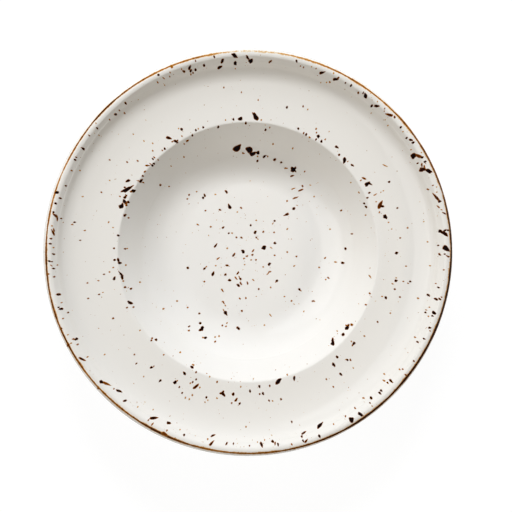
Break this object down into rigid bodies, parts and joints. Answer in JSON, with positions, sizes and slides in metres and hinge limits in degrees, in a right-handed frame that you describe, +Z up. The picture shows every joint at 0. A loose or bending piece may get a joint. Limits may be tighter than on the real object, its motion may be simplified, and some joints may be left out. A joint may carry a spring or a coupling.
{
  "type": "rimmed soup plate",
  "caption": "Round soup plate with a deep well, a level rim flaring to a rolled lip, a foot ring, off-white glaze and a brown line round the edge.",
  "frame": {"origin": "centre of the foot ring, on the surface that the plate stands on", "axes": "+Z up along the plate's axis of revolution, with X and Y level and free to choose"},
  "size_m": [0.24, 0.24, 0.04],
  "materials": {
    "fired_clay": "bare, fine and matt, ground smooth where it stands",
    "speckled_glaze": "warm white gloss with scattered black, rust and tan flecks fired in",
    "oxide_line": "satin brown oxide, uneven in depth round the edge",
    "plain_glaze": "warm white gloss without flecks"
  },
  "bodies": {
    "root": {"plate_body": "fired_clay", "face_glaze": "speckled_glaze", "edge_line": "oxide_line", "back_glaze": "plain_glaze", "base_glaze": "plain_glaze"}
  },
  "joints": []
}
